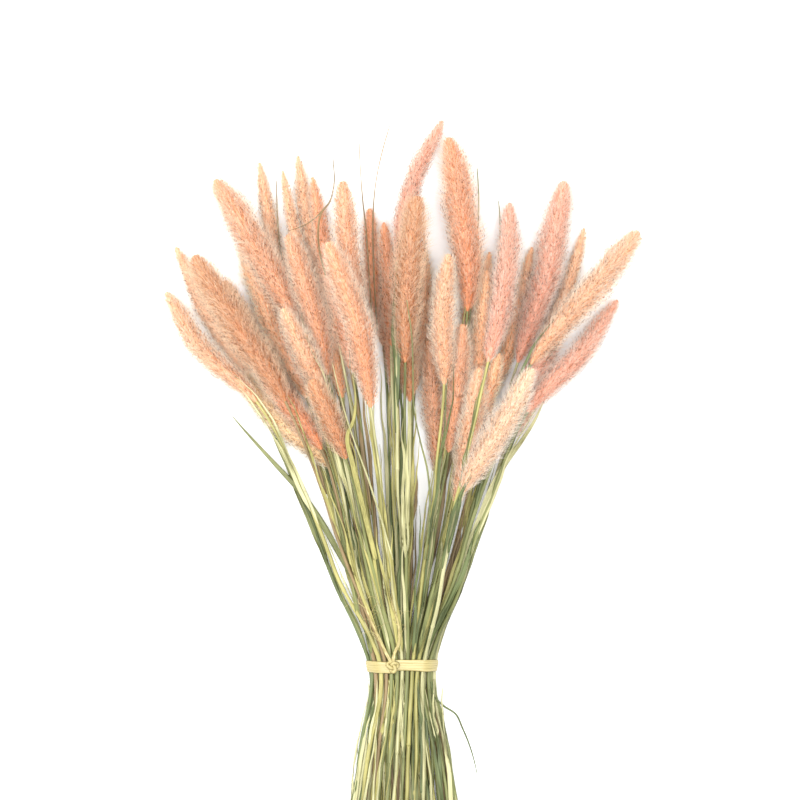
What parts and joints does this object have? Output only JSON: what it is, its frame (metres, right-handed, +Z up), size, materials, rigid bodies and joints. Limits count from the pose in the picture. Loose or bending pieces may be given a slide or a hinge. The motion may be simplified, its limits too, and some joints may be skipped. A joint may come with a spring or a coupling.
{
  "type": "bundle of dried foxtail grass",
  "caption": "Tied bundle of dried foxtail grass with bristly seed heads on straw stems, lying on its side.",
  "frame": {"origin": "middle of the bundle's bounding box in plan, on the surface that the bundle lies on", "axes": "+Z up from the surface, +Y along the bundle towards the tips of the seed heads, +X to the right seen from above with the heads away from the viewer"},
  "size_m": [0.3096, 0.6206, 0.0881],
  "materials": {
    "dried_foxtail": "matt bristly seed head, dyed salmon and peach, on a straw-green culm",
    "dried_leaf": "matt dried grass blade with fine long veins, straw to olive green",
    "raffia": "matt split palm fibre, frayed at its ends"
  },
  "bodies": {
    "root": {"foxtail_bottom_01": "dried_foxtail", "foxtail_bottom_02": "dried_foxtail", "foxtail_bottom_03": "dried_foxtail", "foxtail_bottom_04": "dried_foxtail", "foxtail_bottom_05": "dried_foxtail", "foxtail_bottom_06": "dried_foxtail", "foxtail_bottom_07": "dried_foxtail", "foxtail_bottom_08": "dried_foxtail", "foxtail_bottom_09": "dried_foxtail", "foxtail_bottom_10": "dried_foxtail", "foxtail_bottom_11": "dried_foxtail", "foxtail_bottom_12": "dried_foxtail", "foxtail_bottom_13": "dried_foxtail", "foxtail_lower_01": "dried_foxtail", "foxtail_lower_02": "dried_foxtail", "foxtail_lower_03": "dried_foxtail", "foxtail_lower_04": "dried_foxtail", "foxtail_lower_05": "dried_foxtail", "foxtail_lower_06": "dried_foxtail", "foxtail_lower_07": "dried_foxtail", "foxtail_lower_08": "dried_foxtail", "foxtail_lower_09": "dried_foxtail", "foxtail_lower_10": "dried_foxtail", "foxtail_lower_11": "dried_foxtail", "foxtail_lower_12": "dried_foxtail", "foxtail_top_01": "dried_foxtail", "foxtail_top_02": "dried_foxtail", "foxtail_top_03": "dried_foxtail", "foxtail_top_04": "dried_foxtail", "foxtail_top_05": "dried_foxtail", "foxtail_top_06": "dried_foxtail", "foxtail_top_07": "dried_foxtail", "foxtail_top_08": "dried_foxtail", "foxtail_top_09": "dried_foxtail", "foxtail_upper_01": "dried_foxtail", "foxtail_upper_02": "dried_foxtail", "foxtail_upper_03": "dried_foxtail", "foxtail_upper_04": "dried_foxtail", "foxtail_upper_05": "dried_foxtail", "foxtail_upper_06": "dried_foxtail", "foxtail_upper_07": "dried_foxtail", "foxtail_upper_08": "dried_foxtail", "foxtail_upper_09": "dried_foxtail", "foxtail_upper_10": "dried_foxtail", "foxtail_upper_11": "dried_foxtail", "leaf_bent_foot": "dried_leaf", "leaf_centre": "dried_leaf", "leaf_curled": "dried_leaf", "leaf_dark_right": "dried_leaf", "leaf_folded": "dried_leaf", "leaf_long_left": "dried_leaf", "leaf_long_right": "dried_leaf", "leaf_olive_right": "dried_leaf", "leaf_short_right": "dried_leaf", "leaf_straw": "dried_leaf", "leaf_wisp_inner": "dried_leaf", "leaf_wisp_left": "dried_leaf", "leaf_wisp_middle": "dried_leaf", "raffia_tie": "raffia"}
  },
  "joints": []
}
